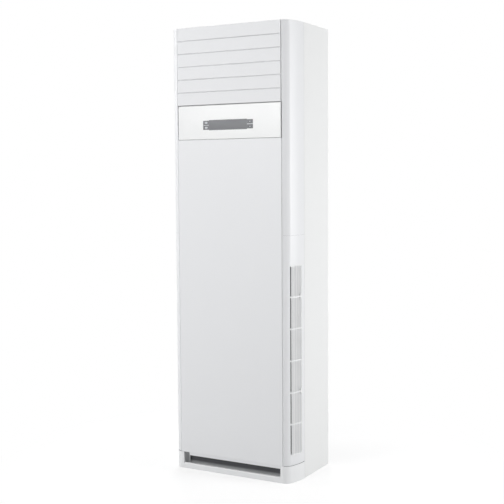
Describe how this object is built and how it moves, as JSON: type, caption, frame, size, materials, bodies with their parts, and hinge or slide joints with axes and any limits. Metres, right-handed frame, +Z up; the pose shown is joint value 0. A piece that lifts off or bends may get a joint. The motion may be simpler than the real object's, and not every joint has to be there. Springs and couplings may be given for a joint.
{
  "type": "floor standing air conditioner",
  "caption": "Tall white floor standing air conditioner with motorised louvre blades across its upper front, a display panel, side intake grilles and a slotted base.",
  "frame": {"origin": "on the floor, under the middle of the cabinet's bounding box", "axes": "+Z up, the front faces -Y, +X is the cabinet's right as seen from the front"},
  "size_m": [0.544, 0.324, 1.75],
  "materials": {
    "shell_plastic": "moulded white plastic with a fine satin grain",
    "panel_plastic": "smooth satin white moulded panel",
    "control_plastic": "semi-gloss white moulded panel",
    "cabinet_paint": "white powder coat on folded sheet steel",
    "zinc_steel": "bare zinc coated sheet steel",
    "dark_paint": "dark grey primer on pressed sheet steel",
    "display_tint": "dark grey tinted clear plastic, polished",
    "button_plastic": "light grey moulded caps, satin",
    "board_laminate": "green circuit board laminate with parts on it",
    "foam": "white moulded bead foam",
    "inner_plastic": "light grey moulded inner parts",
    "blower_plastic": "dark grey moulded blower plastic",
    "motor_shell": "plated pressed motor shells",
    "shaft_steel": "ground steel",
    "fin_aluminium": "thin stamped fins",
    "copper": "drawn copper tube",
    "filter_net": "grey moulded frame with fine net"
  },
  "bodies": {
    "cabinet": {"base_plinth": "shell_plastic", "upper_left_corner": "shell_plastic", "upper_right_corner": "shell_plastic", "lower_left_corner": "shell_plastic", "lower_right_corner": "shell_plastic", "outlet_header": "shell_plastic", "front_panel": "panel_plastic", "control_panel": "control_plastic", "left_side_panel": "cabinet_paint", "right_side_panel": "cabinet_paint", "top_cover": "cabinet_paint", "back_panel": "zinc_steel", "blower_deck": "zinc_steel", "inner_cover": "zinc_steel", "electric_box": "zinc_steel", "electric_box_cover": "zinc_steel", "base_pan": "dark_paint", "display_window": "display_tint", "display_board": "board_laminate", "main_board": "board_laminate", "outlet_duct": "foam", "drain_pan": "foam", "outlet_sill": "inner_plastic", "vane_rail": "inner_plastic", "scroll_housing": "blower_plastic", "inlet_ring": "blower_plastic", "cable_gland": "blower_plastic", "fan_motor": "motor_shell", "louvre_motor": "motor_shell", "vane_motor": "motor_shell", "coil_fins": "fin_aluminium", "coil_tubes": "copper", "gas_pipe": "copper", "liquid_pipe": "copper"},
    "louvre_blade_1": {"louvre_blade_1": "shell_plastic"},
    "louvre_blade_2": {"louvre_blade_2": "shell_plastic"},
    "louvre_blade_3": {"louvre_blade_3": "shell_plastic"},
    "louvre_blade_4": {"louvre_blade_4": "shell_plastic"},
    "louvre_blade_5": {"louvre_blade_5": "shell_plastic"},
    "louvre_link": {"louvre_link": "inner_plastic"},
    "louvre_crank": {"louvre_crank": "inner_plastic"},
    "vane_1": {"vane_1": "inner_plastic"},
    "vane_2": {"vane_2": "inner_plastic"},
    "vane_3": {"vane_3": "inner_plastic"},
    "vane_4": {"vane_4": "inner_plastic"},
    "vane_5": {"vane_5": "inner_plastic"},
    "vane_link": {"vane_link": "inner_plastic"},
    "vane_crank": {"vane_crank": "inner_plastic"},
    "button_upper_left": {"button_upper_left": "button_plastic"},
    "button_lower_left": {"button_lower_left": "button_plastic"},
    "button_upper_right": {"button_upper_right": "display_tint"},
    "button_lower_right": {"button_lower_right": "display_tint"},
    "blower": {"fan_wheel": "blower_plastic", "motor_shaft": "shaft_steel"},
    "left_intake": {"left_intake_grille": "shell_plastic", "left_filter": "filter_net"},
    "right_intake": {"right_intake_grille": "shell_plastic", "right_filter": "filter_net"}
  },
  "joints": [
    {"name": "louvre_1_turn", "type": "hinge", "parent": "cabinet", "child": "louvre_blade_1", "pos_m": [0, -0.148, 1.475], "axis": [-1, 0, 0], "range_deg": [0, 80]},
    {"name": "louvre_2_turn", "type": "hinge", "parent": "cabinet", "child": "louvre_blade_2", "pos_m": [0, -0.148, 1.525], "axis": [-1, 0, 0], "range_deg": [0, 80]},
    {"name": "louvre_3_turn", "type": "hinge", "parent": "cabinet", "child": "louvre_blade_3", "pos_m": [0, -0.148, 1.575], "axis": [-1, 0, 0], "range_deg": [0, 80]},
    {"name": "louvre_4_turn", "type": "hinge", "parent": "cabinet", "child": "louvre_blade_4", "pos_m": [0, -0.148, 1.625], "axis": [-1, 0, 0], "range_deg": [0, 80]},
    {"name": "louvre_5_turn", "type": "hinge", "parent": "cabinet", "child": "louvre_blade_5", "pos_m": [0, -0.148, 1.675], "axis": [-1, 0, 0], "range_deg": [0, 80]},
    {"name": "louvre_crank_turn", "type": "hinge", "parent": "cabinet", "child": "louvre_crank", "pos_m": [-0.207, -0.1, 1.55], "axis": [-1, 0, 0], "range_deg": [0, 80]},
    {"name": "louvre_link_swing", "type": "hinge", "parent": "louvre_blade_1", "child": "louvre_link", "pos_m": [-0.2035, -0.14244, 1.50651], "axis": [-1, 0, 0], "range_deg": [-80, 0]},
    {"name": "vane_1_turn", "type": "hinge", "parent": "cabinet", "child": "vane_1", "pos_m": [-0.144, -0.084, 1.5855], "axis": [0, 0, 1], "range_deg": [-35, 35]},
    {"name": "vane_2_turn", "type": "hinge", "parent": "cabinet", "child": "vane_2", "pos_m": [-0.072, -0.084, 1.5855], "axis": [0, 0, 1], "range_deg": [-35, 35]},
    {"name": "vane_3_turn", "type": "hinge", "parent": "cabinet", "child": "vane_3", "pos_m": [0, -0.084, 1.5855], "axis": [0, 0, 1], "range_deg": [-35, 35]},
    {"name": "vane_4_turn", "type": "hinge", "parent": "cabinet", "child": "vane_4", "pos_m": [0.072, -0.084, 1.5855], "axis": [0, 0, 1], "range_deg": [-35, 35]},
    {"name": "vane_5_turn", "type": "hinge", "parent": "cabinet", "child": "vane_5", "pos_m": [0.144, -0.084, 1.5855], "axis": [0, 0, 1], "range_deg": [-35, 35]},
    {"name": "vane_crank_turn", "type": "hinge", "parent": "cabinet", "child": "vane_crank", "pos_m": [0.205, -0.084, 1.452], "axis": [0, 0, 1], "range_deg": [-35, 35]},
    {"name": "vane_link_swing", "type": "hinge", "parent": "vane_1", "child": "vane_link", "pos_m": [-0.144, -0.066, 1.4575], "axis": [0, 0, 1], "range_deg": [-35, 35]},
    {"name": "blower_spin", "type": "hinge", "parent": "cabinet", "child": "blower", "pos_m": [-0.018, 0.08, 0.33], "axis": [0, -1, 0], "continuous": true},
    {"name": "button_upper_left_press", "type": "slide", "parent": "cabinet", "child": "button_upper_left", "axis": [0, 1, 0], "range_m": [0, 0.001], "stiffness_N_per_m": 400, "springref_m": -0.001},
    {"name": "button_lower_left_press", "type": "slide", "parent": "cabinet", "child": "button_lower_left", "axis": [0, 1, 0], "range_m": [0, 0.001], "stiffness_N_per_m": 400, "springref_m": -0.001},
    {"name": "button_upper_right_press", "type": "slide", "parent": "cabinet", "child": "button_upper_right", "axis": [0, 1, 0], "range_m": [0, 0.001], "stiffness_N_per_m": 400, "springref_m": -0.001},
    {"name": "button_lower_right_press", "type": "slide", "parent": "cabinet", "child": "button_lower_right", "axis": [0, 1, 0], "range_m": [0, 0.001], "stiffness_N_per_m": 400, "springref_m": -0.001},
    {"name": "left_intake_pull", "type": "slide", "parent": "cabinet", "child": "left_intake", "axis": [-1, 0, 0], "range_m": [0, 0.06]},
    {"name": "right_intake_pull", "type": "slide", "parent": "cabinet", "child": "right_intake", "axis": [1, 0, 0], "range_m": [0, 0.06]}
  ],
  "couplings": [
    {"joint": "louvre_2_turn", "follows": "louvre_1_turn", "ratio": 1},
    {"joint": "louvre_3_turn", "follows": "louvre_1_turn", "ratio": 1},
    {"joint": "louvre_4_turn", "follows": "louvre_1_turn", "ratio": 1},
    {"joint": "louvre_5_turn", "follows": "louvre_1_turn", "ratio": 1},
    {"joint": "louvre_crank_turn", "follows": "louvre_1_turn", "ratio": 1},
    {"joint": "louvre_link_swing", "follows": "louvre_1_turn", "ratio": -1},
    {"joint": "vane_2_turn", "follows": "vane_1_turn", "ratio": 1},
    {"joint": "vane_3_turn", "follows": "vane_1_turn", "ratio": 1},
    {"joint": "vane_4_turn", "follows": "vane_1_turn", "ratio": 1},
    {"joint": "vane_5_turn", "follows": "vane_1_turn", "ratio": 1},
    {"joint": "vane_crank_turn", "follows": "vane_1_turn", "ratio": 1},
    {"joint": "vane_link_swing", "follows": "vane_1_turn", "ratio": -1}
  ]
}
